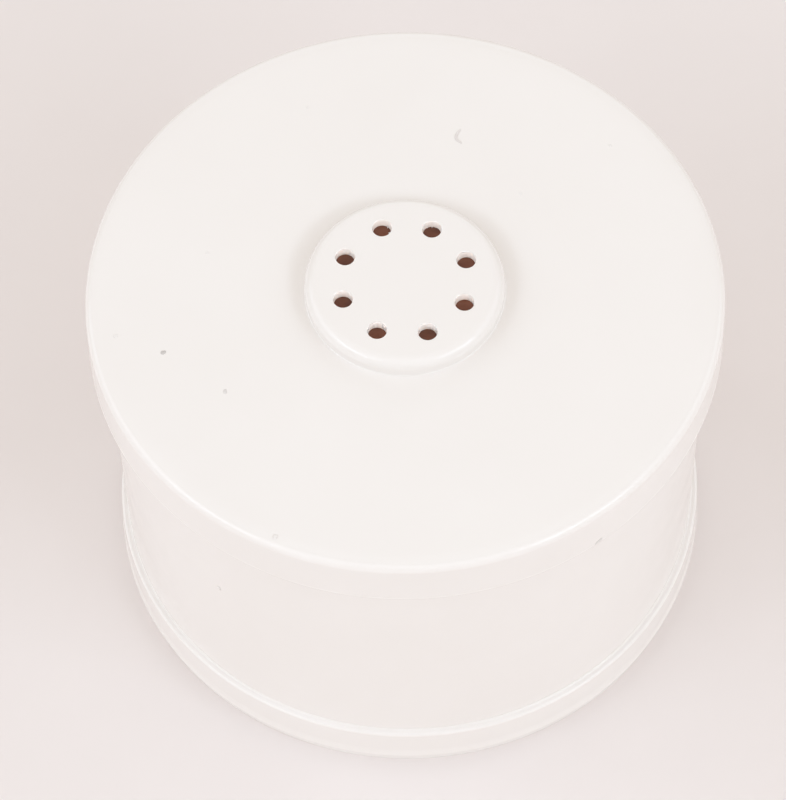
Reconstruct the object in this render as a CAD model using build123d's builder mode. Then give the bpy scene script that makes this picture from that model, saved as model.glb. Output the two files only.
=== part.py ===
from build123d import *
from math import radians, tan
import os

# Limescale filter cartridge: a drum of resin between a perforated inlet cap and a collared base cap.
# Millimetres, +Z up, the origin in the middle of the foot, on the surface that it stands on.

# Drum, a moulded tube that narrows towards the base
drum_height = 39.3
drum_rim_radius = 30.4
drum_wall = 1.5
drum_draft = 1.0

# Base cap, a shallow cup whose collar holds the drum's foot and flares to a fine lip above its own foot
floor_thickness = 1.5
floor_lift = 1.0
collar_height = 5.7
collar_wall = 0.65
collar_edge_round = 0.3
flare_height = 1.2
flare_reach = 0.13
foot_height = 1.2
foot_step = 0.15
foot_ring_width = 2.4
foot_edge_round = 0.15

# Inlet cap, whose skirt and spigot straddle the drum's rim
cap_plate = 1.2
cap_edge_round = 1.1
skirt_depth = 6.0
skirt_wall = 1.55
skirt_lip_round = 0.3
spigot_wall = 1.2
spigot_depth = 2.0

# Boss in the middle of the cap, hollow underneath
boss_radius = 10.0
boss_height = 2.0
boss_wall = 1.0
boss_plate = 1.0
boss_edge_round = 0.9
boss_foot_round = 0.4

# Ring of water ports, alike in the boss and in the floor
port_count = 8
port_radius = 0.95
port_circle_radius = 6.54
port_start_angle = 19.0

# Fleece pad on the floor, and the gaps beside what is pushed or poured in
floor_pad_thickness = 2.0
shell_clearance = 0.05
contents_clearance = 0.1

# Levels above the foot
floor_top = floor_lift + floor_thickness
rim_level = floor_top + drum_height
cap_top = rim_level + cap_plate
lip_level = cap_top - skirt_depth
boss_top = cap_top + boss_height
recess_top = boss_top - boss_plate
spigot_end = rim_level - spigot_depth
bed_bottom = floor_top + floor_pad_thickness

# Radii that follow from the drum
drum_foot_radius = drum_rim_radius - (lip_level - collar_height) * tan(radians(drum_draft))
drum_rim_bore = drum_rim_radius - drum_wall
drum_foot_bore = drum_foot_radius - drum_wall
skirt_bore = drum_rim_radius + shell_clearance
cap_radius = skirt_bore + skirt_wall
spigot_radius = drum_rim_bore - shell_clearance
spigot_bore = spigot_radius - spigot_wall
recess_radius = boss_radius - boss_wall
collar_bore = drum_foot_radius + shell_clearance
collar_radius = collar_bore + collar_wall
lip_radius = collar_radius + flare_reach
foot_radius = collar_radius - foot_step
foot_bore = foot_radius - foot_ring_width

# Drum: straight where a cap holds it, drafted in between
with BuildPart() as drum:
    with BuildSketch(Plane.XZ):
        with BuildLine():
            Polyline(
                (drum_foot_radius, floor_top),
                (drum_foot_radius, collar_height),
                (drum_rim_radius, lip_level),
                (drum_rim_radius, rim_level),
                (drum_rim_bore, rim_level),
                (drum_rim_bore, lip_level),
                (drum_foot_bore, collar_height),
                (drum_foot_bore, floor_top),
                close=True,
            )
        make_face()
    revolve(axis=Axis.Z)
drum.part.label = "drum"

# Base cap: foot ring, flared collar round the drum's foot, floor with the outlet ports
with BuildPart() as base_cap:
    with BuildSketch(Plane.XZ) as base_section:
        with BuildLine():
            Polyline(
                (lip_radius, foot_height),
                (foot_radius, foot_height),
                (foot_radius, 0),
                (foot_bore, 0),
                (foot_bore, floor_lift),
                (0, floor_lift),
                (0, floor_top),
                (collar_bore, floor_top),
                (collar_bore, collar_height),
                (collar_radius, collar_height),
                (collar_radius, foot_height + flare_height),
            )
            TangentArc(
                (collar_radius, foot_height + flare_height),
                (lip_radius, foot_height),
                tangent=(0, -1),
            )
        make_face()
        foot_corner = base_section.vertices().group_by(Axis.Y)[0].sort_by(Axis.X)[-1]
        fillet(foot_corner, foot_edge_round)
        collar_corner = base_section.vertices().group_by(Axis.Y)[-1].sort_by(Axis.X)[-1]
        fillet(collar_corner, collar_edge_round)
    revolve(axis=Axis.Z)
    with BuildSketch(Plane.XY.offset(floor_lift)):
        with PolarLocations(port_circle_radius, port_count, start_angle=port_start_angle):
            Circle(port_radius)
    extrude(amount=floor_thickness, mode=Mode.SUBTRACT)
base_cap.part.label = "base_cap"

# Inlet cap: skirted plate, spigot ring, and the raised boss with its inlet ports
with BuildPart() as inlet_cap:
    with BuildSketch(Plane.XY.offset(lip_level)):
        Circle(cap_radius)
    extrude(amount=skirt_depth)
    fillet(inlet_cap.faces().sort_by(Axis.Z)[-1].edges(), cap_edge_round)
    fillet(inlet_cap.faces().sort_by(Axis.Z)[0].edges(), skirt_lip_round)
    with BuildSketch(Plane.XY.offset(lip_level)):
        Circle(skirt_bore)
    extrude(amount=rim_level - lip_level, mode=Mode.SUBTRACT)
    with BuildSketch(Plane.XY.offset(spigot_end)):
        Circle(spigot_radius)
        Circle(spigot_bore, mode=Mode.SUBTRACT)
    extrude(amount=spigot_depth)
    with BuildSketch(Plane.XY.offset(cap_top)):
        Circle(boss_radius)
    extrude(amount=boss_height)
    fillet(inlet_cap.faces().sort_by(Axis.Z)[-1].edges(), boss_edge_round)
    boss_foot = inlet_cap.edges().filter_by(GeomType.CIRCLE).filter_by_position(Axis.Z, cap_top, cap_top)
    fillet(boss_foot.sort_by(SortBy.RADIUS)[0], boss_foot_round)
    with BuildSketch(Plane.XY.offset(rim_level)):
        Circle(recess_radius)
    extrude(amount=recess_top - rim_level, mode=Mode.SUBTRACT)
    with BuildSketch(Plane.XY.offset(recess_top)):
        with PolarLocations(port_circle_radius, port_count, start_angle=port_start_angle):
            Circle(port_radius)
    extrude(amount=boss_plate, mode=Mode.SUBTRACT)
inlet_cap.part.label = "inlet_cap"

# Inlet fleece: pad that fills the boss's recess, right under the inlet ports
with BuildPart() as inlet_fleece:
    with BuildSketch(Plane.XY.offset(rim_level)):
        Circle(recess_radius - contents_clearance)
    extrude(amount=recess_top - rim_level)
inlet_fleece.part.label = "inlet_fleece"

# Outlet fleece: pad on the floor, inside the drum's foot
with BuildPart() as outlet_fleece:
    with BuildSketch(Plane.XY.offset(floor_top)):
        Circle(drum_foot_bore - contents_clearance)
    extrude(amount=floor_pad_thickness)
outlet_fleece.part.label = "outlet_fleece"

# Resin bed: the filling of the drum from the floor pad up to the cap, stepped in at the spigot ring
with BuildPart() as resin_bed:
    with BuildSketch(Plane.XZ):
        with BuildLine():
            Polyline(
                (0, floor_top),
                (drum_foot_bore - contents_clearance, floor_top),
                (drum_foot_bore - contents_clearance, collar_height),
                (drum_rim_bore - contents_clearance, lip_level),
                (drum_rim_bore - contents_clearance, spigot_end),
                (spigot_bore - contents_clearance, spigot_end),
                (spigot_bore - contents_clearance, rim_level),
                (0, rim_level),
                close=True,
            )
        make_face()
    revolve(axis=Axis.Z)
    split(bisect_by=Plane.XY.offset(bed_bottom), keep=Keep.TOP)
resin_bed.part.label = "resin_bed"

os.makedirs("parts", exist_ok=True)
export_step(drum.part, "parts/drum.step")
export_step(base_cap.part, "parts/base_cap.step")
export_step(inlet_cap.part, "parts/inlet_cap.step")
export_step(inlet_fleece.part, "parts/inlet_fleece.step")
export_step(outlet_fleece.part, "parts/outlet_fleece.step")
export_step(resin_bed.part, "parts/resin_bed.step")
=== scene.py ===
import logging
from dataclasses import dataclass, field
from enum import Enum
from math import pi, radians

import bpy
import numpy as np
from mathutils import Matrix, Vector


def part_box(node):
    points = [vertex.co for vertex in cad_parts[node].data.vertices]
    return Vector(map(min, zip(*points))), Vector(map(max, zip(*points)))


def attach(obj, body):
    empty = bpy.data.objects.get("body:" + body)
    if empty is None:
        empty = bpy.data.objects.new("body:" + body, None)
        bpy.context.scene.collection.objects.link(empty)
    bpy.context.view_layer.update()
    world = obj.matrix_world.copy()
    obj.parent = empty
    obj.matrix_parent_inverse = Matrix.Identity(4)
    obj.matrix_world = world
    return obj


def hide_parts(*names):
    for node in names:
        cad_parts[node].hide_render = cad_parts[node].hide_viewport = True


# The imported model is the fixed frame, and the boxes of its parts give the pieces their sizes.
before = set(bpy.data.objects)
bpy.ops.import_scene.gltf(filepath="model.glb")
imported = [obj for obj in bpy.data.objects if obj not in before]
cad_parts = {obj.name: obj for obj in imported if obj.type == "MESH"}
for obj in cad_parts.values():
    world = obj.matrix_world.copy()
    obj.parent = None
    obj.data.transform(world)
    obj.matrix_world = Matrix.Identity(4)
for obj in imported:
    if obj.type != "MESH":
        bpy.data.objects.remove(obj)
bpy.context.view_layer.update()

log = logging.getLogger("limescale_cartridge")

# Units and places that every piece shares
MM = 0.001
WHOLE_TURN = 2.0 * pi
WELD_STEP = 1.0e-7
GUARD_SHARE = 0.3
OTHER_WAY_ROUND = [0, 3, 2, 1]
ROOT_BODY = "root"

Colour = tuple[float, float, float]
Pixel = tuple[float, float]


class Slot(Enum):
    """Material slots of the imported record."""

    WHITE_PLASTIC = "white_plastic"
    BROWN_FLEECE = "brown_fleece"
    RESIN = "resin"


class Seat(Enum):
    """Surfaces that a grain of dust can lie on."""

    CAP_TOP = "cap_top"
    SKIRT = "skirt"
    DRUM_WALL = "drum_wall"


@dataclass(frozen=True)
class NodeSpan:
    """Outer radius and lowest and highest level of one CAD node, in metres."""

    radius: float
    low: float
    high: float

    @classmethod
    def of(cls, node: str) -> "NodeSpan":
        """Reads the span of a round node from the frame.

        Args:
            node: Name of the CAD node.

        Returns:
            The node's span.
        """
        low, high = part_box(node)
        return cls(radius=max(high.x, high.y, -low.x, -low.y), low=low.z, high=high.z)


@dataclass
class Patch:
    """A stretch of surface: points in rows of x, y, z, and faces of four or three corners."""

    points: np.ndarray
    quads: np.ndarray = field(default_factory=lambda: np.zeros((0, 4), int))
    triangles: np.ndarray = field(default_factory=lambda: np.zeros((0, 3), int))

    def turned_over(self) -> "Patch":
        """The same stretch, with its faces pointing the other way."""
        return Patch(self.points, self.quads[:, ::-1], self.triangles[:, ::-1])


@dataclass(frozen=True)
class Corner:
    """One corner of a turned section, with the radius that rounds it and the steps of that rounding."""

    radius: float
    level: float
    rounding: float = 0.05 * MM
    steps: int = 4


def rounded_section(corners: list[Corner], closed: bool) -> np.ndarray:
    """Rounds the corners of a section by arcs that touch both sides.

    At each corner the arc's centre lies on the bisector, at the rounding radius over the sine of half the
    corner's angle. A point just outside each end of the arc keeps the straight sides flat when shaded.

    Args:
        corners: Corners in order, with the material on the left.
        closed: Whether the last corner runs back to the first. Otherwise the two end corners stay sharp.

    Returns:
        Points of the section, in rows of radius and level.
    """
    places = np.array([(corner.radius, corner.level) for corner in corners])
    rounding = np.array([corner.rounding for corner in corners])
    to_next = np.roll(places, -1, axis=0) - places
    room = np.linalg.norm(to_next, axis=1)
    to_next /= room[:, None]
    to_last = -np.roll(to_next, 1, axis=0)
    half_angle = 0.5 * np.arccos(np.clip((to_last * to_next).sum(axis=1), -1.0, 1.0))
    reach = rounding / np.tan(half_angle)
    if not closed:
        reach[[0, -1]] = 0.0
    spare = room - reach - np.roll(reach, -1)
    guard_next = reach + np.minimum(GUARD_SHARE * rounding, GUARD_SHARE * spare)
    guard_last = reach + np.minimum(GUARD_SHARE * rounding, GUARD_SHARE * np.roll(spare, 1))
    rows = []
    for index, corner in enumerate(corners):
        place, back, ahead = places[index], to_last[index], to_next[index]
        if reach[index] == 0.0:
            rows.append(place[None, :])
            continue
        bisector = (back + ahead) / np.linalg.norm(back + ahead)
        centre = place + bisector * corner.rounding / np.sin(half_angle[index])
        start, end = place + back * reach[index] - centre, place + ahead * reach[index] - centre
        swing = np.linspace(0.0, 1.0, corner.steps + 1)[:, None]
        turn = pi - 2.0 * half_angle[index]
        arc = centre + (np.sin((1.0 - swing) * turn) * start + np.sin(swing * turn) * end) / np.sin(turn)
        rows.append(np.vstack([place + back * guard_last[index], arc, place + ahead * guard_next[index]]))
    return np.vstack(rows)


def full_turn(steps: int) -> np.ndarray:
    """Angles of one whole turn in equal steps, without its last point."""
    return WHOLE_TURN * np.arange(steps) / steps


def grid_quads(rows: int, around: int, closed: bool = False) -> np.ndarray:
    """Faces of a grid whose rows are rings: each runs along its ring, on to the next ring and back.

    Args:
        rows: Count of rings.
        around: Points in each ring.
        closed: Whether the last ring joins the first.

    Returns:
        Corner indices, four to a face.
    """
    row = np.arange(rows if closed else rows - 1)[:, None]
    step = np.arange(around)[None, :]
    next_row, next_step = (row + 1) % rows, (step + 1) % around
    corners = [
        row * around + step,
        row * around + next_step,
        next_row * around + next_step,
        next_row * around + step,
    ]
    return np.stack(corners, axis=-1).reshape(-1, 4)


def turned(section: np.ndarray, angles: np.ndarray, closed: bool) -> Patch:
    """Carries a section round the Z axis.

    A point at radius r and level z goes to r times the cosine and sine of each angle, at level z.

    Args:
        section: Rows of radius and level, with the material on the left.
        angles: Angles round the axis, one full turn without its last point.
        closed: Whether the section's last point joins its first.

    Returns:
        The turned surface, facing out of the material.
    """
    points = np.empty((len(section), len(angles), 3))
    points[..., 0] = section[:, :1] * np.cos(angles)
    points[..., 1] = section[:, :1] * np.sin(angles)
    points[..., 2] = section[:, 1:]
    return Patch(points.reshape(-1, 3), grid_quads(len(section), len(angles), closed))


def hub(ring_radii: np.ndarray, level: float, angles: np.ndarray) -> Patch:
    """A flat disc that faces up: rings from the widest radius inwards, closed by triangles at the axis.

    Args:
        ring_radii: Radii of the rings, the widest first.
        level: Height of the disc.
        angles: Angles round the axis.

    Returns:
        The disc.
    """
    section = np.column_stack([ring_radii, np.full(len(ring_radii), level)])
    rings = turned(section, angles, closed=False)
    around = len(angles)
    turn = np.arange(around)
    last_ring = (len(ring_radii) - 1) * around
    pole = np.full(around, len(rings.points))
    triangles = np.column_stack([last_ring + turn, last_ring + (turn + 1) % around, pole])
    points = np.vstack([rings.points, [[0.0, 0.0, level]]])
    return Patch(points, rings.quads, triangles)


def closed_tube(rings: np.ndarray, first_pole: np.ndarray, last_pole: np.ndarray) -> Patch:
    """Joins rings of points into a closed skin, with a fan of triangles to a pole at each end.

    Args:
        rings: Points by ring, step round the ring and x, y or z. Seen from the last ring's end, the steps
            of each ring go counter-clockwise.
        first_pole: Point that closes the first ring.
        last_pole: Point that closes the last ring.

    Returns:
        The closed skin, facing outwards.
    """
    count, around = rings.shape[:2]
    step = np.arange(around)
    following = (step + 1) % around
    last = (count - 1) * around
    first_index = np.full(around, count * around)
    triangles = np.vstack(
        [
            np.column_stack([following, step, first_index]),
            np.column_stack([last + step, last + following, first_index + 1]),
        ]
    )
    points = np.vstack([rings.reshape(-1, 3), first_pole[None, :], last_pole[None, :]])
    return Patch(points, grid_quads(count, around), triangles)


def flat_strand(
    path: np.ndarray,
    across: np.ndarray,
    half_width: np.ndarray,
    level: float,
    half_height: np.ndarray,
    around: int,
) -> Patch:
    """A closed strand of elliptic sections along a level path.

    At angle u round a section, a point stands off the path by the half width times the cosine of u, and
    rises from the level by the half height times the sine of u.

    Args:
        path: Steps of the path, in rows of x and y.
        across: Unit direction to the left of the path, at each step or for all.
        half_width: Half width at each step.
        level: Height of the path.
        half_height: Half height at each step.
        around: Points round each section.

    Returns:
        The closed surface.
    """
    turn = full_turn(around)
    points = np.empty((len(path), around, 3))
    sideways = half_width[:, None] * np.cos(turn)
    points[..., :2] = path[:, None] + sideways[..., None] * across[..., None, :]
    points[..., 2] = level + half_height[:, None] * np.sin(turn)
    return closed_tube(points, points[0].mean(axis=0), points[-1].mean(axis=0))


def weld(*patches: Patch) -> Patch:
    """Joins patches into one surface, in which points at the same place become one.

    Args:
        patches: The patches, which meet point on point along their edges.

    Returns:
        The joined surface.
    """
    offsets = np.cumsum([0] + [len(patch.points) for patch in patches[:-1]])
    points = np.vstack([patch.points for patch in patches])
    keys = np.round(points / WELD_STEP).astype(np.int64)
    _, first, place = np.unique(keys, axis=0, return_index=True, return_inverse=True)
    place = place.reshape(-1)
    quads = np.vstack([patch.quads + offset for patch, offset in zip(patches, offsets)])
    triangles = np.vstack([patch.triangles + offset for patch, offset in zip(patches, offsets)])
    return Patch(points[first], place[quads], place[triangles])


def make_object(name: str, surface: Patch, crease_deg: float = 35.0) -> bpy.types.Object:
    """Puts a surface into a new mesh object at the origin, smooth but for its creases.

    Args:
        name: Name of the piece.
        surface: Its surface, in metres in the part's frame.
        crease_deg: Angle between faces past which an edge stays sharp.

    Returns:
        The object.
    """
    mesh = bpy.data.meshes.new(name)
    mesh.from_pydata(surface.points.tolist(), [], surface.quads.tolist() + surface.triangles.tolist())
    mesh.shade_smooth()
    mesh.set_sharp_from_angle(angle=radians(crease_deg))
    mesh.update()
    piece = bpy.data.objects.new(name, mesh)
    bpy.context.scene.collection.objects.link(piece)
    return piece


def finish_piece(
    piece: bpy.types.Object, finish: bpy.types.Material, node: str | None = None
) -> bpy.types.Object:
    """Dresses a piece, rides it on the cartridge's one body, and logs its counts.

    Args:
        piece: The piece.
        finish: Its material.
        node: CAD node that the piece stands for, if any.

    Returns:
        The piece.
    """
    piece.data.materials.append(finish)
    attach(piece, ROOT_BODY)
    if node:
        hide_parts(node)
    log.info("%s: %d points, %d faces", piece.name, len(piece.data.vertices), len(piece.data.polygons))
    return piece


class NodeBoard:
    """One material's node tree, with short calls to add and link its nodes."""

    noise_low: float = 0.3
    noise_high: float = 0.7

    def __init__(self, name: str) -> None:
        """Starts an empty tree with a principled surface and its output."""
        self.material = bpy.data.materials.new(name)
        self.material.use_nodes = True
        self.tree = self.material.node_tree
        self.tree.nodes.clear()
        self.surface = self.add("ShaderNodeBsdfPrincipled")
        output = self.add("ShaderNodeOutputMaterial")
        self.link(self.surface.outputs["BSDF"], output.inputs["Surface"])
        self.place = self.add("ShaderNodeTexCoord").outputs["Object"]

    def add(self, kind: str, **inputs: object) -> bpy.types.Node:
        """Adds a node and sets its inputs.

        Args:
            kind: Blender's name of the node type.
            inputs: Values by input name, with underscores for spaces.

        Returns:
            The node.
        """
        node = self.tree.nodes.new(kind)
        self.set_inputs(node, **inputs)
        return node

    def set_inputs(self, node: bpy.types.Node, **inputs: object) -> None:
        """Sets a node's inputs by name, with underscores for spaces."""
        for name, value in inputs.items():
            node.inputs[name.replace("_", " ")].default_value = value

    def link(self, source: bpy.types.NodeSocket, target: bpy.types.NodeSocket) -> None:
        """Links an output to an input."""
        self.tree.links.new(source, target)

    def noise(self, scale: float, detail: float) -> bpy.types.NodeSocket:
        """Noise on the piece's own coordinates.

        Args:
            scale: Waves in a metre.
            detail: Octaves of finer noise.

        Returns:
            The noise, from 0 to 1.
        """
        node = self.add("ShaderNodeTexNoise", Scale=scale, Detail=detail)
        self.link(self.place, node.inputs["Vector"])
        return node.outputs["Fac"]

    def spread(
        self, source: bpy.types.NodeSocket, low: float = 0.0, high: float = 1.0
    ) -> bpy.types.NodeSocket:
        """Stretches the middle of a noise to a range.

        Args:
            source: The noise.
            low: Value where the noise is low.
            high: Value where the noise is high.

        Returns:
            The stretched value.
        """
        node = self.add(
            "ShaderNodeMapRange", From_Min=self.noise_low, From_Max=self.noise_high, To_Min=low, To_Max=high
        )
        self.link(source, node.inputs["Value"])
        return node.outputs["Result"]

    def colour(self, share: bpy.types.NodeSocket, low: Colour, high: Colour) -> None:
        """Colours the surface with a blend of two colours.

        Args:
            share: Share of the second colour, from 0 to 1.
            low: First colour.
            high: Second colour.
        """
        node = self.add("ShaderNodeMix")
        node.data_type = "RGBA"
        colour_inputs = [socket for socket in node.inputs if socket.type == "RGBA"]
        colour_inputs[0].default_value = (*low, 1.0)
        colour_inputs[1].default_value = (*high, 1.0)
        self.link(share, node.inputs["Factor"])
        blended = next(socket for socket in node.outputs if socket.type == "RGBA")
        self.link(blended, self.surface.inputs["Base Color"])

    def bump(self, height: bpy.types.NodeSocket, depth: float, strength: float) -> None:
        """Roughens the surface's shading by a height.

        Args:
            height: Height, from 0 to 1.
            depth: Depth of the relief in metres.
            strength: Share of the relief that shows.
        """
        node = self.add("ShaderNodeBump", Strength=strength, Distance=depth)
        self.link(height, node.inputs["Height"])
        self.link(node.outputs["Normal"], self.surface.inputs["Normal"])


@dataclass(frozen=True)
class MouldedPlastic:
    """Semi-gloss white moulded plastic, with a faint cloudiness and a fine skin."""

    name: str = "white_moulded_plastic"
    pale: Colour = (0.905, 0.868, 0.836)
    cloud: Colour = (0.893, 0.854, 0.820)
    cloud_scale: float = 70.0
    cloud_octaves: float = 3.0
    gloss_scale: float = 260.0
    smooth: float = 0.17
    dull: float = 0.22
    skin_scale: float = 2600.0
    skin_depth: float = 0.004 * MM
    skin_strength: float = 0.4
    fine_octaves: float = 2.0
    refraction: float = 1.49
    milkiness: float = 0.0
    light_reach: float = 3.0 * MM
    light_tint: Colour = (1.0, 0.8, 0.7)

    def material(self) -> bpy.types.Material:
        """Makes the material: cloudy base colour, uneven gloss and a fine skin in the shading."""
        board = NodeBoard(self.name)
        board.colour(board.spread(board.noise(self.cloud_scale, self.cloud_octaves)), self.pale, self.cloud)
        gloss = board.spread(board.noise(self.gloss_scale, self.fine_octaves), self.smooth, self.dull)
        board.link(gloss, board.surface.inputs["Roughness"])
        board.bump(board.noise(self.skin_scale, self.fine_octaves), self.skin_depth, self.skin_strength)
        board.set_inputs(board.surface, IOR=self.refraction)
        if self.milkiness > 0.0:
            board.surface.subsurface_method = "BURLEY"
            board.set_inputs(
                board.surface,
                Subsurface_Weight=self.milkiness,
                Subsurface_Scale=self.light_reach,
                Subsurface_Radius=self.light_tint,
            )
        return board.material


@dataclass(frozen=True)
class NeedledFleece:
    """Matt brown fleece of fine needled fibres."""

    name: str = "needled_brown_fleece"
    light: Colour = (0.250, 0.092, 0.053)
    dark: Colour = (0.112, 0.041, 0.025)
    tuft_scale: float = 420.0
    tuft_octaves: float = 5.0
    fibre_scale: float = 1500.0
    fibre_octaves: float = 6.0
    fibre_depth: float = 0.12 * MM
    fibre_strength: float = 0.7
    roughness: float = 0.9
    sheen: float = 0.1
    sheen_spread: float = 0.6

    def material(self) -> bpy.types.Material:
        """Makes the material: tufts blend two browns, fibres roughen it, and a sheen softens it."""
        board = NodeBoard(self.name)
        board.colour(board.spread(board.noise(self.tuft_scale, self.tuft_octaves)), self.dark, self.light)
        board.bump(board.noise(self.fibre_scale, self.fibre_octaves), self.fibre_depth, self.fibre_strength)
        board.set_inputs(
            board.surface,
            Roughness=self.roughness,
            Sheen_Weight=self.sheen,
            Sheen_Roughness=self.sheen_spread,
        )
        return board.material


@dataclass(frozen=True)
class ResinBeads:
    """Packed amber beads of ion exchange resin, moist and fine."""

    name: str = "packed_resin_beads"
    light: Colour = (0.420, 0.235, 0.085)
    dark: Colour = (0.210, 0.100, 0.032)
    bead_scale: float = 1100.0
    bead_edge: float = 0.7
    bead_depth: float = 0.35 * MM
    bead_strength: float = 0.8
    roughness: float = 0.32

    def material(self) -> bpy.types.Material:
        """Makes the material: each cell of a cell pattern is a bead with its own amber and a round top."""
        board = NodeBoard(self.name)
        cells = board.add("ShaderNodeTexVoronoi", Scale=self.bead_scale)
        board.link(board.place, cells.inputs["Vector"])
        tint = board.add("ShaderNodeSeparateColor")
        board.link(cells.outputs["Color"], tint.inputs["Color"])
        board.colour(tint.outputs["Red"], self.dark, self.light)
        dome = board.add(
            "ShaderNodeMapRange", From_Min=0.0, From_Max=self.bead_edge, To_Min=1.0, To_Max=0.0
        )
        board.link(cells.outputs["Distance"], dome.inputs["Value"])
        board.bump(dome.outputs["Result"], self.bead_depth, self.bead_strength)
        board.set_inputs(board.surface, Roughness=self.roughness)
        return board.material


@dataclass(frozen=True)
class DustGrain:
    """Matt dust, of which each grain runs from a light to a dark tone."""

    name: str
    light: Colour
    dark: Colour
    grain_scale: float = 3000.0
    grain_octaves: float = 3.0
    grain_depth: float = 0.03 * MM
    grain_strength: float = 0.6
    roughness: float = 0.95

    def material(self) -> bpy.types.Material:
        """Makes the material: fine noise blends the two tones, and roughens the grain."""
        board = NodeBoard(self.name)
        share = board.noise(self.grain_scale, self.grain_octaves)
        board.colour(board.spread(share), self.dark, self.light)
        board.bump(share, self.grain_depth, self.grain_strength)
        board.set_inputs(board.surface, Roughness=self.roughness)
        return board.material


@dataclass(frozen=True)
class PaleFloor:
    """Matt, faintly cloudy floor."""

    name: str = "pale_floor"
    pale: Colour = (0.85, 0.79, 0.765)
    cloud: Colour = (0.83, 0.77, 0.745)
    cloud_scale: float = 40.0
    cloud_octaves: float = 4.0
    roughness: float = 0.9
    gloss: float = 0.2

    def material(self) -> bpy.types.Material:
        """Makes the material: a cloudy colour with little gloss."""
        board = NodeBoard(self.name)
        board.colour(board.spread(board.noise(self.cloud_scale, self.cloud_octaves)), self.pale, self.cloud)
        board.set_inputs(board.surface, Roughness=self.roughness, Specular_IOR_Level=self.gloss)
        return board.material


@dataclass(frozen=True)
class PhotoCamera:
    """Pinhole camera of the photograph, fitted to the outlines of the cap, boss, ports and base."""

    cap_level: float
    frame_width: int = 786
    frame_height: int = 800
    focal_pixels: float = 5008.0
    cap_depth: float = 500.0 * MM
    cap_pixel: Pixel = (404.9, 290.2)
    elevation_deg: float = 58.8
    roll_deg: float = -1.55
    sensor: float = 36.0

    def axes(self) -> np.ndarray:
        """The camera's right, down and forward directions in the part's frame, as rows."""
        elevation, roll = radians(self.elevation_deg), radians(self.roll_deg)
        level_axes = np.array(
            [
                [1.0, 0.0, 0.0],
                [0.0, -np.sin(elevation), -np.cos(elevation)],
                [0.0, np.cos(elevation), -np.sin(elevation)],
            ]
        )
        turn = np.array(
            [
                [np.cos(roll), -np.sin(roll), 0.0],
                [np.sin(roll), np.cos(roll), 0.0],
                [0.0, 0.0, 1.0],
            ]
        )
        return turn @ level_axes

    def ray(self, pixel: Pixel) -> np.ndarray:
        """Direction of a pixel's ray, one unit deep along the view.

        Args:
            pixel: Column and row in the photograph.

        Returns:
            The direction in the part's frame.
        """
        across = (pixel[0] - 0.5 * self.frame_width) / self.focal_pixels
        down = (pixel[1] - 0.5 * self.frame_height) / self.focal_pixels
        return np.array([across, down, 1.0]) @ self.axes()

    def place(self) -> np.ndarray:
        """The camera's place, from which the middle of the cap's top shows at its pixel."""
        return np.array([0.0, 0.0, self.cap_level]) - self.cap_depth * self.ray(self.cap_pixel)

    def on_level(self, pixel: Pixel, level: float) -> np.ndarray:
        """Point of the plane at a level that shows at a pixel."""
        place, ray = self.place(), self.ray(pixel)
        return place + ray * (level - place[2]) / ray[2]

    def on_wall(self, pixel: Pixel, radius: float) -> np.ndarray:
        """Nearest point of an upright cylinder round the axis that shows at a pixel.

        Args:
            pixel: Column and row in the photograph.
            radius: Radius of the cylinder.

        Returns:
            The point.
        """
        place, ray = self.place(), self.ray(pixel)
        square = ray[:2] @ ray[:2]
        half = ray[:2] @ place[:2]
        rest = place[:2] @ place[:2] - radius**2
        depth = (-half - np.sqrt(half**2 - square * rest)) / square
        return place + ray * depth

    def build(self) -> bpy.types.Object:
        """Makes the camera and gives it to the scene."""
        right, down, forward = self.axes()
        matrix = np.eye(4)
        matrix[:3, :3] = np.column_stack([right, -down, -forward])
        matrix[:3, 3] = self.place()
        data = bpy.data.cameras.new("photo_camera")
        data.sensor_width = self.sensor
        data.lens = self.focal_pixels * self.sensor / max(self.frame_width, self.frame_height)
        camera = bpy.data.objects.new("photo_camera", data)
        camera.matrix_world = Matrix(matrix.tolist())
        bpy.context.scene.collection.objects.link(camera)
        bpy.context.scene.camera = camera
        return camera


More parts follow.
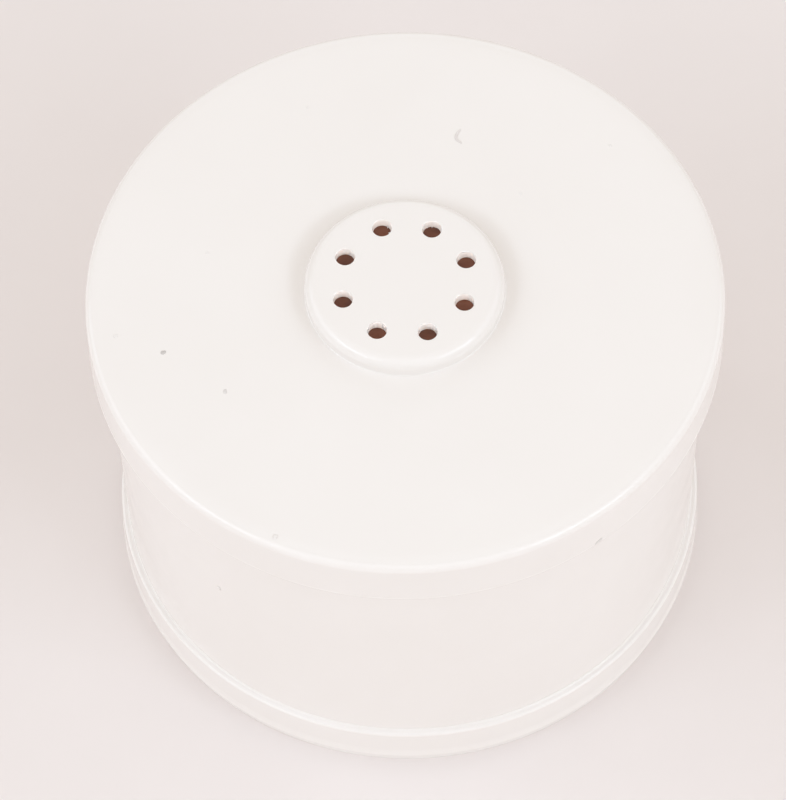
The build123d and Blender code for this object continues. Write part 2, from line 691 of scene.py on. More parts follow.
@dataclass(frozen=True)
class PortRing:
    """Ring of water ports in a round plate, with the grids that fit the plate round them."""

    count: int = 8
    circle_radius: float = 6.54 * MM
    port_radius: float = 0.95 * MM
    start_deg: float = 19.0
    inner_radius: float = 4.5 * MM
    outer_radius: float = 8.6 * MM
    arc_steps: int = 32
    side_steps: int = 16
    spread_steps: int = 6
    spread_power: float = 1.5
    hub_rings: int = 5
    hub_share: float = 0.1
    draft: float = 0.05 * MM
    edge_round: float = 0.07 * MM
    edge_steps: int = 6
    wall_shares: tuple[float, ...] = (0.1, 0.9, 1.0)

    def upper_radius(self) -> float:
        """Radius of the ports just under their rounded rims."""
        return self.port_radius + 0.5 * self.draft

    def lower_radius(self) -> float:
        """Radius of the ports at the lower face."""
        return self.port_radius - 0.5 * self.draft

    def angles(self) -> np.ndarray:
        """Angles of the whole turn, in steps that fall on the borders between the ports' sectors."""
        return radians(self.start_deg) - pi / self.count + full_turn(self.count * self.arc_steps)

    def port_angles(self) -> np.ndarray:
        """Angles of the ports' middles round the axis."""
        return radians(self.start_deg) + full_turn(self.count)

    def centres(self) -> np.ndarray:
        """Middles of the ports, in rows of x and y."""
        turn = self.port_angles()
        return self.circle_radius * np.column_stack([np.cos(turn), np.sin(turn)])

    def borders(self) -> np.ndarray:
        """Border of each port's sector: out along one side, round the rim, in again and back round the hub.

        Returns:
            Points by port, step and x or y, counter-clockwise round each port.
        """
        half = pi / self.count
        arc = np.linspace(-half, half, self.arc_steps + 1)[:-1]
        side = np.linspace(0.0, 1.0, self.side_steps + 1)[:-1]
        width = self.outer_radius - self.inner_radius
        radius = np.concatenate(
            [
                np.full(self.arc_steps, self.outer_radius),
                self.outer_radius - width * side,
                np.full(self.arc_steps, self.inner_radius),
                self.inner_radius + width * side,
            ]
        )
        swing = np.concatenate(
            [arc, np.full(self.side_steps, half), -arc, np.full(self.side_steps, -half)]
        )
        turn = self.port_angles()[:, None] + swing
        return radius[None, :, None] * np.stack([np.cos(turn), np.sin(turn)], axis=-1)

    def headings(self) -> np.ndarray:
        """Unit directions from each port's middle to its sector's border."""
        away = self.borders() - self.centres()[:, None, :]
        return away / np.linalg.norm(away, axis=-1, keepdims=True)

    def _grid_faces(self, rows: int) -> np.ndarray:
        """Faces of one ring-shaped grid at each port, with rows of points going outwards or down.

        Args:
            rows: Rows of points in each grid.

        Returns:
            Corner indices, four to a face.
        """
        around = 2 * (self.arc_steps + self.side_steps)
        port = np.arange(self.count)[:, None, None] * rows * around
        return (port + grid_quads(rows, around)[:, OTHER_WAY_ROUND]).reshape(-1, 4)

    def plate(self, level: float, hole_radius: float) -> Patch:
        """Flat face round the ports, facing up: each sector blends from its port's rim to its border.

        Args:
            level: Height of the face.
            hole_radius: Radius of the ports in that face.

        Returns:
            The face, from the hub's middle to the outer radius.
        """
        rims = self.centres()[:, None, :] + hole_radius * self.headings()
        share = np.linspace(0.0, 1.0, self.spread_steps + 1)[None, :, None, None] ** self.spread_power
        flat = (1.0 - share) * rims[:, None] + share * self.borders()[:, None]
        points = np.concatenate([flat, np.full((*flat.shape[:-1], 1), level)], axis=-1)
        ring = Patch(points.reshape(-1, 3), self._grid_faces(self.spread_steps + 1))
        hub_radii = np.linspace(self.inner_radius, self.hub_share * self.inner_radius, self.hub_rings)
        return weld(ring, hub(hub_radii, level, self.angles()))

    def walls(self, top: float, bottom: float) -> Patch:
        """Walls of the ports: a quarter round from the upper face, then a slight draft to the lower face.

        Args:
            top: Level of the upper face.
            bottom: Level of the lower face.

        Returns:
            The walls, facing into the ports.
        """
        swing = np.linspace(0.0, 0.5 * pi, self.edge_steps + 1)
        radius = self.upper_radius() + self.edge_round * (1.0 - np.sin(swing))
        level = top - self.edge_round * (1.0 - np.cos(swing))
        down = np.array(self.wall_shares)
        radius = np.append(radius, self.upper_radius() - self.draft * down)
        level = np.append(level, level[-1] + (bottom - level[-1]) * down)
        flat = self.centres()[:, None, None, :] + radius[None, :, None, None] * self.headings()[:, None]
        height = np.broadcast_to(level[None, :, None, None], (*flat.shape[:-1], 1))
        points = np.concatenate([flat, height], axis=-1)
        faces = self._grid_faces(len(radius))
        return Patch(points.reshape(-1, 3), faces[:, ::-1])

    def in_bores(self, mesh: bpy.types.Mesh) -> np.ndarray:
        """Says which faces of a mesh lie inside a port, so that they can take the bores' darker finish,
        whose colour is painted shade.

        Args:
            mesh: Mesh of a piece with the ports.

        Returns:
            One truth value for each face.
        """
        middles = np.empty(3 * len(mesh.polygons))
        mesh.polygons.foreach_get("center", middles)
        away = middles.reshape(-1, 3)[:, None, :2] - self.centres()[None]
        reach = self.upper_radius() + self.edge_round
        return (np.linalg.norm(away, axis=-1) < reach).any(axis=1)

    def perforated(self, top: float, bottom: float) -> Patch:
        """Both faces of a plate and the walls of its ports.

        Args:
            top: Level of the upper face.
            bottom: Level of the lower face.

        Returns:
            The plate, open at its outer radius.
        """
        upper = self.plate(top, self.upper_radius() + self.edge_round)
        lower = self.plate(bottom, self.lower_radius()).turned_over()
        return weld(upper, lower, self.walls(top, bottom))


@dataclass
class InletCap:
    """Moulded inlet cap: plate, skirt, spigot ring and the raised boss with its ports."""

    span: NodeSpan
    ports: PortRing
    finish: bpy.types.Material
    # Darker copy of the plastic for the ports' bores: its darker colour is painted shade
    shade_painted_bore_finish: bpy.types.Material
    plate: float = 1.2 * MM
    edge_slope: float = 1.2 * MM
    edge_fall: float = 0.27 * MM
    slope_round: float = 5.0 * MM
    slope_steps: int = 12
    edge_round: float = 0.85 * MM
    edge_steps: int = 16
    skirt_wall: float = 1.55 * MM
    lip_round: float = 0.12 * MM
    lip_bore_round: float = 0.15 * MM
    lip_bead: float = 0.02 * MM
    bead_height: float = 0.10 * MM
    fine_steps: int = 8
    drum_gap: float = 0.05 * MM
    drum_wall: float = 1.5 * MM
    spigot_wall: float = 1.2 * MM
    spigot_length: float = 2.0 * MM
    spigot_round: float = 0.2 * MM
    boss_radius: float = 10.0 * MM
    boss_height: float = 2.0 * MM
    boss_wall: float = 1.0 * MM
    boss_plate: float = 1.0 * MM
    boss_round: float = 1.15 * MM
    boss_foot_round: float = 0.15 * MM

    def top(self) -> float:
        """Level of the cap's flat top."""
        return self.span.high - self.boss_height

    def skirt_radius(self) -> float:
        """Radius of the skirt above the fine bead of its lip."""
        return self.span.radius - self.lip_bead

    def skirt_bore(self) -> float:
        """Radius inside the skirt."""
        return self.span.radius - self.skirt_wall

    def spigot_radius(self) -> float:
        """Radius of the spigot ring, which stands inside the drum's rim."""
        return self.skirt_bore() - self.drum_wall - 2.0 * self.drum_gap

    def spigot_bore(self) -> float:
        """Radius inside the spigot ring."""
        return self.spigot_radius() - self.spigot_wall

    def section(self) -> np.ndarray:
        """Half section, from the boss's underside round the spigot and the skirt to the boss's top.

        A fine bead stands out at the skirt's lip, and the cap's top slopes a little to its rounded edge.
        """
        underside = self.top() - self.plate
        recess = self.boss_radius - self.boss_wall
        recess_top = self.span.high - self.boss_plate
        spigot_end = underside - self.spigot_length
        rim = self.ports.outer_radius
        skirt = self.skirt_radius()
        bead_top = self.span.low + self.lip_round + self.bead_height
        corners = [
            Corner(rim, recess_top),
            Corner(recess, recess_top),
            Corner(recess, underside),
            Corner(self.spigot_bore(), underside),
            Corner(self.spigot_bore(), spigot_end, self.spigot_round),
            Corner(self.spigot_radius(), spigot_end, self.spigot_round),
            Corner(self.spigot_radius(), underside),
            Corner(self.skirt_bore(), underside),
            Corner(self.skirt_bore(), self.span.low, self.lip_bore_round),
            Corner(self.span.radius, self.span.low, self.lip_round, self.fine_steps),
            Corner(self.span.radius, bead_top),
            Corner(skirt, bead_top + self.bead_height),
            Corner(skirt, self.top() - self.edge_fall, self.edge_round, self.edge_steps),
            Corner(skirt - self.edge_slope, self.top(), self.slope_round, self.slope_steps),
            Corner(self.boss_radius, self.top(), self.boss_foot_round, self.fine_steps),
            Corner(self.boss_radius, self.span.high, self.boss_round, self.edge_steps),
            Corner(rim, self.span.high),
        ]
        return rounded_section(corners, closed=False)

    def build(self) -> bpy.types.Object:
        """Makes the cap, which stands for its CAD node, and dresses it."""
        shell = turned(self.section(), self.ports.angles(), closed=False)
        boss_plate = self.ports.perforated(self.span.high, self.span.high - self.boss_plate)
        piece = make_object("inlet_cap_shell", weld(shell, boss_plate))
        finish_piece(piece, self.finish, "inlet_cap")
        # The ports' bores take a darker, milky copy of the plastic: its darker colour is painted shade over
        # their milky glow
        piece.data.materials.append(self.shade_painted_bore_finish)
        in_bores = self.ports.in_bores(piece.data)
        piece.data.polygons.foreach_set("material_index", in_bores.astype(np.int32))
        return piece


@dataclass
class Drum:
    """Moulded drum: a tube that narrows a little from the inlet cap to the base cap."""

    span: NodeSpan
    cap: NodeSpan
    base: NodeSpan
    angles: np.ndarray
    finish: bpy.types.Material
    wall: float = 1.5 * MM
    bend_round: float = 2.0 * MM
    draft_deg: float = 1.0

    def foot_radius(self) -> float:
        """Radius at the foot, after the draft between the skirt's lip and the collar's edge."""
        return self.span.radius - (self.cap.low - self.base.high) * np.tan(radians(self.draft_deg))

    def radius_at(self, level: float) -> float:
        """Outer radius at a level between the caps."""
        levels = [self.base.high, self.cap.low]
        return float(np.interp(level, levels, [self.foot_radius(), self.span.radius]))

    def section(self) -> np.ndarray:
        """Closed half section: straight where a cap holds the drum, drafted in between."""
        rim, foot = self.span.radius, self.foot_radius()
        corners = [
            Corner(foot, self.span.low),
            Corner(foot, self.base.high, self.bend_round),
            Corner(rim, self.cap.low, self.bend_round),
            Corner(rim, self.span.high),
            Corner(rim - self.wall, self.span.high),
            Corner(rim - self.wall, self.cap.low, self.bend_round),
            Corner(foot - self.wall, self.base.high, self.bend_round),
            Corner(foot - self.wall, self.span.low),
        ]
        return rounded_section(corners, closed=True)

    def build(self) -> bpy.types.Object:
        """Makes the drum, which stands for its CAD node, and dresses it."""
        piece = make_object("drum_shell", weld(turned(self.section(), self.angles, closed=True)))
        return finish_piece(piece, self.finish, "drum")


@dataclass
class BaseCap:
    """Moulded base cap: collar round the drum's foot, flared lip, foot ring and a floor with ports."""

    span: NodeSpan
    drum_foot_radius: float
    ports: PortRing
    finish: bpy.types.Material
    floor_lift: float = 1.0 * MM
    floor_thickness: float = 1.5 * MM
    drum_gap: float = 0.05 * MM
    seam_lap: float = 0.01 * MM
    weld_film: float = 0.004 * MM
    collar_wall: float = 0.65 * MM
    collar_round: float = 0.3 * MM
    collar_steps: int = 10
    weld_round: float = 0.24 * MM
    floor_round: float = 0.1 * MM
    flare_height: float = 1.2 * MM
    flare_steps: int = 10
    foot_height: float = 1.2 * MM
    foot_step: float = 0.15 * MM
    foot_ring: float = 2.4 * MM
    foot_round: float = 0.05 * MM
    foot_steps: int = 6
    ring_round: float = 0.15 * MM
    recess_round: float = 0.3 * MM

    def section(self) -> np.ndarray:
        """Half section, from the floor's top round the collar, the flare and the foot to its underside.

        A soft weld fillet joins the collar's land to the drum. The flare is an arc that leaves the collar's
        side upright: at a drop d below its start it stands out by its radius less the root of the radius
        squared minus d squared.
        """
        bore = self.drum_foot_radius - self.seam_lap
        film = self.drum_foot_radius + self.weld_film
        land = self.span.high - self.weld_round
        collar = self.drum_foot_radius + self.drum_gap + self.collar_wall
        reach = self.span.radius - collar
        foot = collar - self.foot_step
        rim = self.ports.outer_radius
        floor_top = self.floor_lift + self.floor_thickness
        below = [
            Corner(rim, self.floor_lift),
            Corner(foot - self.foot_ring, self.floor_lift, self.recess_round),
            Corner(foot - self.foot_ring, self.span.low, self.ring_round),
            Corner(foot, self.span.low, self.foot_round, self.foot_steps),
            Corner(foot, self.foot_height),
            Corner(self.span.radius, self.foot_height),
        ]
        above = [
            Corner(collar, self.foot_height + self.flare_height),
            Corner(collar, land, self.collar_round, self.collar_steps),
            Corner(film, land, self.weld_round - self.weld_film, self.collar_steps),
            Corner(film, self.span.high),
            Corner(bore, self.span.high),
            Corner(bore, floor_top, self.floor_round),
            Corner(rim, floor_top),
        ]
        arc_radius = (reach**2 + self.flare_height**2) / (2.0 * reach)
        drop = self.flare_height * np.linspace(1.0, 0.0, self.flare_steps + 1)[1:-1]
        stand_out = arc_radius - np.sqrt(arc_radius**2 - drop**2)
        flare = np.column_stack([collar + stand_out, self.foot_height + self.flare_height - drop])
        lower, upper = rounded_section(below, closed=False), rounded_section(above, closed=False)
        return np.vstack([lower, flare, upper])

    def build(self) -> bpy.types.Object:
        """Makes the base cap, which stands for its CAD node, and dresses it."""
        shell = turned(self.section(), self.ports.angles(), closed=False)
        floor = self.ports.perforated(self.floor_lift + self.floor_thickness, self.floor_lift)
        piece = make_object("base_cap_shell", weld(shell, floor))
        return finish_piece(piece, self.finish, "base_cap")


@dataclass
class FleecePad:
    """Die-cut fleece pad, flat but softly uneven, with a rounded edge."""

    name: str
    node: str
    span: NodeSpan
    finish: bpy.types.Material
    seed: int
    around: int = 192
    rings: int = 56
    edge_round: float = 0.6 * MM
    edge_steps: int = 8
    dimple: float = 0.10 * MM
    waves: int = 14
    longest_wave: float = 9.0 * MM
    shortest_wave: float = 1.6 * MM

    def unevenness(self, x: np.ndarray, y: np.ndarray) -> np.ndarray:
        """Depth of the dimples: the mean of cosine waves of many directions and lengths, from 0 to 1.

        Args:
            x: Places across.
            y: Places along.

        Returns:
            The depths.
        """
        draw = np.random.default_rng(self.seed)
        heading = draw.uniform(0.0, WHOLE_TURN, self.waves)
        length = np.geomspace(self.longest_wave, self.shortest_wave, self.waves)
        phase = draw.uniform(0.0, WHOLE_TURN, self.waves)
        along = x[..., None] * np.cos(heading) + y[..., None] * np.sin(heading)
        return 0.5 + 0.5 * np.cos(WHOLE_TURN * along / length + phase).mean(axis=-1)

    def surface(self) -> Patch:
        """A turned section with its upper and lower faces pressed in by the unevenness."""
        angles = full_turn(self.around)
        flat_radius = self.span.radius - self.edge_round
        inwards = np.linspace(1.0, 1.0 / self.rings, self.rings)
        swing = np.linspace(-0.5 * pi, 0.5 * pi, 2 * self.edge_steps + 1)
        middle = 0.5 * (self.span.low + self.span.high)
        half = 0.5 * (self.span.high - self.span.low)
        bulge = np.column_stack(
            [flat_radius + self.edge_round * np.cos(swing), middle + half * np.sin(swing)]
        )[1:-1]
        lower = np.column_stack([flat_radius * inwards[::-1], np.full(self.rings, self.span.low)])
        upper = np.column_stack([flat_radius * inwards, np.full(self.rings, self.span.high)])
        section = np.vstack([lower, bulge, upper])
        rings = turned(section, angles, closed=False).points.reshape(len(section), self.around, 3)
        poles = np.array([[0.0, 0.0, self.span.low], [0.0, 0.0, self.span.high]])
        skin = closed_tube(rings, poles[0], poles[1])
        points = skin.points
        side = np.clip((points[:, 2] - middle) / half, -1.0, 1.0)
        depth = self.dimple * self.unevenness(points[:, 0], points[:, 1])
        points[:, 2] -= side * depth
        return skin

    def build(self) -> bpy.types.Object:
        """Makes the pad, which stands for its CAD node, and dresses it."""
        piece = make_object(self.name, self.surface())
        finish_piece(piece, self.finish, self.node)
        return piece


@dataclass
class ResinBed:
    """Bed of resin beads that fills the drum from the floor pad up to the cap."""

    span: NodeSpan
    foot_radius: float
    neck_radius: float
    collar_level: float
    skirt_level: float
    finish: bpy.types.Material
    neck: float = 2.0 * MM
    around: int = 240
    rows: int = 72
    bead: float = 1.5 * MM
    hollow: float = 0.08 * MM
    hub_rings: int = 24
    hub_share: float = 0.02

    def surface(self) -> Patch:
        """A turned section that follows the drum's bore and steps in at the spigot ring.

        The side stands in from the bore by a wave of the bead's size along the height and round the turn,
        with every second row of beads shifted by half a bead.
        """
        angles = full_turn(self.around)
        shoulder = self.span.high - self.neck
        level = np.linspace(self.span.low, shoulder, self.rows)
        steps = [self.collar_level, self.skirt_level]
        radius = np.interp(level, steps, [self.foot_radius, self.span.radius])
        side = turned(np.column_stack([radius, level]), angles, closed=False)
        beads_round = round(WHOLE_TURN * self.span.radius / self.bead)
        turn = np.arctan2(side.points[:, 1], side.points[:, 0])
        wave = np.cos(beads_round * turn) * np.cos(pi * side.points[:, 2] / self.bead)
        inside = (side.points[:, 2] > self.span.low) & (side.points[:, 2] < shoulder)
        depth = np.where(inside, self.hollow * (0.5 - 0.5 * wave), 0.0)
        side.points[:, :2] *= (1.0 - depth / self.span.radius)[:, None]
        step = np.array(
            [[radius[-1], shoulder], [self.neck_radius, shoulder], [self.neck_radius, self.span.high]]
        )
        inwards = np.linspace(1.0, self.hub_share, self.hub_rings)
        upper = hub(self.neck_radius * inwards, self.span.high, angles)
        lower = hub(radius[0] * inwards, self.span.low, angles).turned_over()
        return weld(side, turned(step, angles, closed=False), upper, lower)

    def build(self) -> bpy.types.Object:
        """Makes the bed, which stands for its CAD node, and dresses it."""
        piece = make_object("resin_bead_bed", self.surface())
        return finish_piece(piece, self.finish, "resin_bed")


@dataclass(frozen=True)
class Grain:
    """One grain of dust: where the photograph shows it, what it lies on, and its half sizes and turn."""

    pixel: Pixel
    seat: Seat
    half_length: float
    half_width: float
    turn_deg: float = 0.0


@dataclass
class DustGrains:
    """Grains of one kind of dust that lie on the cap's top, its skirt and the drum's wall."""

    name: str
    grains: tuple[Grain, ...]
    camera: PhotoCamera
    cap: InletCap
    drum: Drum
    finish: bpy.types.Material
    seed: int
    around: int = 20
    rows: int = 11
    height_share: float = 0.25
    ragged: float = 0.22
    ragged_waves: tuple[int, ...] = (2, 3, 4, 5)
    lift: float = 0.004 * MM
    crease_deg: float = 60.0
    wall_passes: int = 2

    def frame_at(self, grain: Grain) -> np.ndarray:
        """Place, two directions along the seat and the direction out of it, as rows.

        Args:
            grain: The grain.

        Returns:
            The four rows.
        """
        if grain.seat is Seat.CAP_TOP:
            place = self.camera.on_level(grain.pixel, self.cap.top())
            return np.array([place, [1.0, 0.0, 0.0], [0.0, 1.0, 0.0], [0.0, 0.0, 1.0]])
        slope = 0.0
        place = self.camera.on_wall(grain.pixel, self.cap.skirt_radius())
        if grain.seat is Seat.DRUM_WALL:
            slope = radians(self.drum.draft_deg)
            for _ in range(self.wall_passes):
                place = self.camera.on_wall(grain.pixel, self.drum.radius_at(place[2]))
        out = np.append(place[:2] / np.linalg.norm(place[:2]), 0.0)
        along = np.cross([0.0, 0.0, 1.0], out)
        up = np.array([0.0, 0.0, np.cos(slope)]) + np.sin(slope) * out
        return np.array([place, along, up, np.cross(along, up)])

    def surface(self, grain: Grain, draw: np.random.Generator) -> Patch:
        """A low dome with a ragged outline and a flat underside.

        At longitude u and latitude v a point stands off the middle by the half sizes times the cosine of v,
        times one plus a few waves of u, and rises by the height times the sine of v where that is positive.

        Args:
            grain: The grain.
            draw: Random draws for the ragged outline.

        Returns:
            The closed surface.
        """
        place, along, across, out = self.frame_at(grain)
        turn = radians(grain.turn_deg)
        first = np.cos(turn) * along + np.sin(turn) * across
        second = np.cos(turn) * across - np.sin(turn) * along
        round_angles = full_turn(self.around)
        rise = np.linspace(-0.5 * pi, 0.5 * pi, self.rows + 2)[1:-1]
        orders = np.array(self.ragged_waves)
        phases = draw.uniform(0.0, WHOLE_TURN, len(orders))
        waves = np.cos(orders[:, None] * round_angles + phases[:, None]) / orders[:, None]
        outline = 1.0 + self.ragged * waves.sum(axis=0)
        flat = np.cos(rise)[:, None] * outline
        height = self.height_share * grain.half_width * np.maximum(np.sin(rise), 0.0) + self.lift
        points = (
            place
            + grain.half_length * (flat * np.cos(round_angles))[..., None] * first
            + grain.half_width * (flat * np.sin(round_angles))[..., None] * second
            + height[:, None, None] * out
        )
        return closed_tube(points, place + self.lift * out, place + height.max() * out)

    def build(self) -> bpy.types.Object:
        """Makes all the grains as one piece and dresses them."""
        draw = np.random.default_rng(self.seed)
        surface = weld(*[self.surface(grain, draw) for grain in self.grains])
        return finish_piece(make_object(self.name, surface, self.crease_deg), self.finish)


@dataclass
class LintFibre:
    """Curled fibre of lint that lies flat on the cap's top."""

    camera: PhotoCamera
    cap: InletCap
    finish: bpy.types.Material
    bends: tuple[Pixel, ...] = (
        (460.2, 129.4),
        (457.4, 133.4),
        (455.9, 138.0),
        (458.4, 141.2),
        (461.0, 143.8),
    )
    half_width: float = 0.125 * MM
    half_height: float = 0.035 * MM
    lift_share: float = 1.02
    end_share: float = 0.02
    taper_power: float = 0.25
    steps: int = 40
    around: int = 12

    def build(self) -> bpy.types.Object:
        """Makes the fibre and dresses it.

        Its path is a polynomial of the fourth degree in x and y through the bends, and its section is an
        ellipse that narrows towards both ends with the fourth root of the distance from the end.
        """
        bends = np.array([self.camera.on_level(pixel, self.cap.top()) for pixel in self.bends])
        knots = np.linspace(-1.0, 1.0, len(bends))
        share = np.linspace(-1.0, 1.0, self.steps)
        fits = np.polynomial.polynomial.polyfit(knots, bends[:, :2], len(bends) - 1)
        path = np.polynomial.polynomial.polyval(share, fits).T
        heading = np.gradient(path, axis=0)
        heading /= np.linalg.norm(heading, axis=1, keepdims=True)
        across = np.column_stack([-heading[:, 1], heading[:, 0]])
        taper = np.maximum(1.0 - share**2, self.end_share) ** self.taper_power
        level = self.cap.top() + self.lift_share * self.half_height
        surface = flat_strand(
            path, across, self.half_width * taper, level, self.half_height * taper, self.around
        )
        return finish_piece(make_object("lint_fibre", surface), self.finish)


@dataclass(frozen=True)
class FlashTooth:
    """One sliver of moulding flash in an inlet port: its port, its direction there and its sizes."""

    port: int
    heading_deg: float
    lean_deg: float
    length: float
    half_width: float
    drop: float


@dataclass
class PortFlash:
    """Slivers of moulding flash left at the lower rims of two inlet ports."""

    ports: PortRing
    cap: InletCap
    finish: bpy.types.Material
    teeth: tuple[FlashTooth, ...] = (
        FlashTooth(2, -5.0, 0.0, 0.36 * MM, 0.13 * MM, 0.86 * MM),
        FlashTooth(2, 50.0, 20.0, 0.22 * MM, 0.10 * MM, 0.88 * MM),
        FlashTooth(1, 88.0, 0.0, 0.26 * MM, 0.09 * MM, 0.88 * MM),
        FlashTooth(1, 118.0, -12.0, 0.15 * MM, 0.12 * MM, 0.88 * MM),
        FlashTooth(1, 62.0, 14.0, 0.14 * MM, 0.10 * MM, 0.88 * MM),
    )
    half_height: float = 0.05 * MM
    root: float = 0.05 * MM
    tip_share: float = 0.98
    taper_power: float = 0.7
    steps: int = 12
    around: int = 12

    def surface(self, tooth: FlashTooth) -> Patch:
        """A flat tapered sliver that grows from the port's wall towards its middle.

        At a share s of its length the half width is the root's times one less s to the taper's power, and
        the half height tapers as its square root.

        Args:
            tooth: The sliver.

        Returns:
            The closed surface.
        """
        heading = radians(tooth.heading_deg)
        lean = heading + radians(tooth.lean_deg)
        rim = np.array([np.cos(heading), np.sin(heading)])
        inwards = -np.array([np.cos(lean), np.sin(lean)])
        across = np.array([-inwards[1], inwards[0]])
        start = self.ports.centres()[tooth.port] + (self.ports.port_radius + self.root) * rim
        share = np.linspace(0.0, self.tip_share, self.steps)
        path = start + np.outer(share * (tooth.length + self.root), inwards)
        taper = (1.0 - share) ** self.taper_power
        level = self.cap.span.high - tooth.drop
        half_height = self.half_height * np.sqrt(taper)
        return flat_strand(path, across, tooth.half_width * taper, level, half_height, self.around)

    def build(self) -> bpy.types.Object:
        """Makes the slivers as one piece and dresses them like the cap."""
        piece = make_object("port_flash", weld(*[self.surface(tooth) for tooth in self.teeth]))
        return finish_piece(piece, self.finish)


@dataclass(frozen=True)
class SoftLamp:
    """Rectangular soft lamp that faces the part: its direction from the part, its sizes and its power."""

    name: str
    azimuth_deg: float
    elevation_deg: float
    width: float
    height: float
    power: float
    distance: float = 0.8

    def build(self, colour: Colour) -> bpy.types.Object:
        """Makes the lamp.

        Args:
            colour: Colour of its light.

        Returns:
            The lamp.
        """
        azimuth, elevation = radians(self.azimuth_deg), radians(self.elevation_deg)
        away = np.array(
            [np.sin(azimuth) * np.cos(elevation), -np.cos(azimuth) * np.cos(elevation), np.sin(elevation)]
        )
        side = np.cross([0.0, 0.0, 1.0], away)
        side /= np.linalg.norm(side)
        matrix = np.eye(4)
        matrix[:3, :3] = np.column_stack([side, np.cross(away, side), away])
        matrix[:3, 3] = self.distance * away
        data = bpy.data.lights.new(self.name, "AREA")
        data.shape = "RECTANGLE"
        data.size = self.width
        data.size_y = self.height
        data.energy = self.power
        data.color = colour
        lamp = bpy.data.objects.new(self.name, data)
        lamp.matrix_world = Matrix(matrix.tolist())
        bpy.context.scene.collection.objects.link(lamp)
        return lamp


@dataclass
class Studio:
    """Plain pale floor, warm light all round and a tent of cooler soft lamps."""

    floor_half: float = 1.5
    floor_finish: PaleFloor = PaleFloor()
    world_colour: Colour = (1.0, 0.868, 0.740)
    world_strength: float = 0.592
    lamp_colour: Colour = (0.728, 0.858, 1.0)
    lamps: tuple[SoftLamp, ...] = (
        SoftLamp("left_panel", -90.0, 34.0, 1.40, 0.80, 4.88, 1.2),
        SoftLamp("right_panel", 90.0, 34.0, 1.40, 0.80, 3.75, 1.2),
        SoftLamp("back_panel", 180.0, 28.0, 1.00, 0.35, 1.05, 0.9),
        SoftLamp("front_panel", 0.0, 52.0, 2.00, 0.90, 3.45, 1.2),
        SoftLamp("low_front_panel", 0.0, 13.0, 2.40, 0.26, 0.92, 1.2),
        SoftLamp("front_left_lamp", -56.0, 37.5, 0.46, 0.11, 0.72),
        SoftLamp("front_right_lamp", 50.0, 36.0, 0.40, 0.13, 1.06),
    )

    def floor(self) -> bpy.types.Object:
        """Makes the floor, a flat sheet under the part."""
        half = self.floor_half
        points = np.array([[-half, -half, 0.0], [half, -half, 0.0], [half, half, 0.0], [-half, half, 0.0]])
        sheet = make_object("studio_floor", Patch(points, np.array([[0, 1, 2, 3]])))
        sheet.data.materials.append(self.floor_finish.material())
        return sheet

    def build(self) -> None:
        """Makes the floor, the lamps and the soft light all round."""
        self.floor()
        for lamp in self.lamps:
            lamp.build(self.lamp_colour)
        world = bpy.data.worlds.new("studio_light")
        world.use_nodes = True
        background = world.node_tree.nodes["Background"]
        background.inputs["Color"].default_value = (*self.world_colour, 1.0)
        background.inputs["Strength"].default_value = self.world_strength
        bpy.context.scene.world = world
        bpy.context.scene.view_settings.view_transform = "Standard"


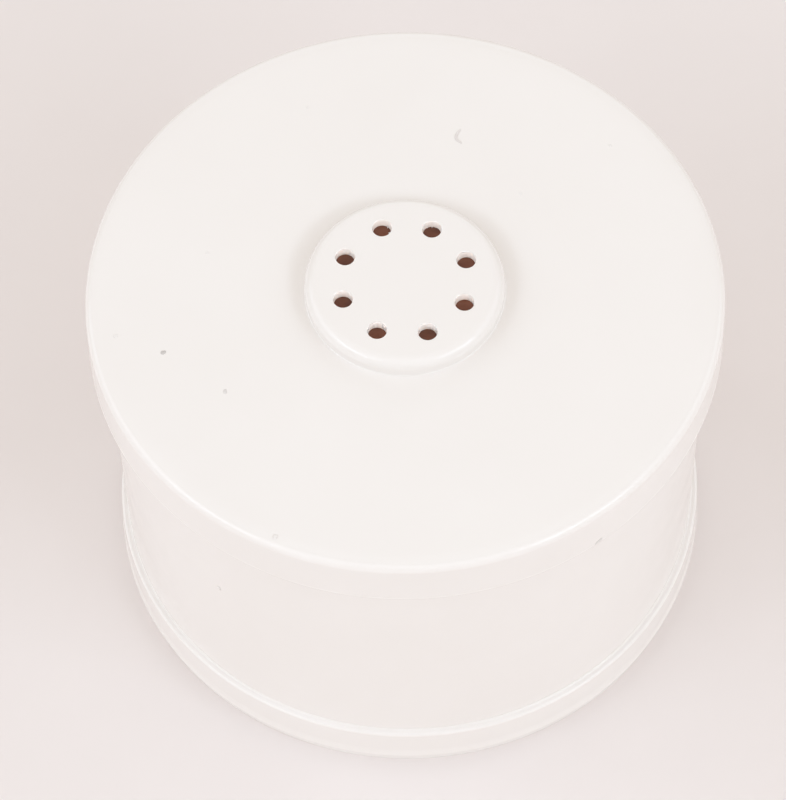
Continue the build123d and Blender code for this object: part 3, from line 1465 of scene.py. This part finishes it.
# Dust that the photograph shows: the piece's name, its finish, its seed and its grains
DUST = (
    (
        "grey_dust_grains",
        DustGrain("grey_dust", light=(0.655, 0.620, 0.590), dark=(0.550, 0.515, 0.490)),
        5,
        (Grain((163.2, 352.5), Seat.CAP_TOP, 0.27 * MM, 0.25 * MM),),
    ),
    (
        "dull_dust_grains",
        DustGrain("dull_dust", light=(0.775, 0.740, 0.710), dark=(0.700, 0.665, 0.640)),
        6,
        (
            Grain((225.0, 391.6), Seat.CAP_TOP, 0.22 * MM, 0.26 * MM),
            Grain((599.0, 541.2), Seat.SKIRT, 0.45 * MM, 0.30 * MM, 22.0),
        ),
    ),
    (
        "pale_dust_grains",
        DustGrain("pale_dust", light=(0.872, 0.836, 0.804), dark=(0.838, 0.802, 0.770)),
        7,
        (
            Grain((275.3, 536.4), Seat.CAP_TOP, 0.24 * MM, 0.23 * MM),
            Grain((219.0, 588.2), Seat.DRUM_WALL, 0.22 * MM, 0.38 * MM),
            Grain((115.6, 336.2), Seat.CAP_TOP, 0.24 * MM, 0.22 * MM),
            Grain((520.3, 193.2), Seat.CAP_TOP, 0.20 * MM, 0.18 * MM),
            Grain((610.0, 145.6), Seat.CAP_TOP, 0.16 * MM, 0.18 * MM),
            Grain((307.4, 107.4), Seat.CAP_TOP, 0.15 * MM, 0.16 * MM),
            Grain((207.2, 253.0), Seat.CAP_TOP, 0.17 * MM, 0.17 * MM),
        ),
    ),
)


def main() -> None:
    """Builds the camera, the cartridge from its shells to its filling, and the studio."""
    logging.basicConfig(level=logging.INFO, format="%(message)s")
    cap_span, drum_span, base_span = NodeSpan.of("inlet_cap"), NodeSpan.of("drum"), NodeSpan.of("base_cap")
    ports = PortRing()
    plastic = MouldedPlastic().material()
    # A darker, milky copy of the plastic for the ports' bores: the milkiness is real translucency, and the
    # darker colour is painted shade
    shade_painted_bore_plastic = MouldedPlastic(
        "milky_shade_painted_bore_plastic", pale=(0.850, 0.818, 0.788), cloud=(0.840, 0.806, 0.775), milkiness=1.0
    ).material()
    fleece = NeedledFleece().material()
    resin = ResinBeads().material()
    lint = DustGrain("dull_lint", light=(0.820, 0.772, 0.744), dark=(0.755, 0.706, 0.678)).material()

    cap = InletCap(cap_span, ports, plastic, shade_painted_bore_plastic)
    camera = PhotoCamera(cap.top())
    camera.build()
    cap.build()
    drum = Drum(drum_span, cap_span, base_span, ports.angles(), plastic)
    drum.build()
    BaseCap(base_span, drum.foot_radius(), ports, plastic).build()
    FleecePad("inlet_fleece_pad", "inlet_fleece", NodeSpan.of("inlet_fleece"), fleece, seed=3).build()
    FleecePad("outlet_fleece_pad", "outlet_fleece", NodeSpan.of("outlet_fleece"), fleece, seed=8).build()
    bed_span = NodeSpan.of("resin_bed")
    ResinBed(
        bed_span,
        foot_radius=drum.foot_radius() - (drum_span.radius - bed_span.radius),
        neck_radius=cap.spigot_bore() - (drum_span.radius - drum.wall - bed_span.radius),
        collar_level=base_span.high,
        skirt_level=cap_span.low,
        finish=resin,
    ).build()
    PortFlash(ports, cap, plastic).build()
    LintFibre(camera, cap, lint).build()
    for name, dust, seed, grains in DUST:
        DustGrains(name, grains, camera, cap, drum, dust.material(), seed).build()
    Studio().build()


if __name__ == "__main__":
    main()
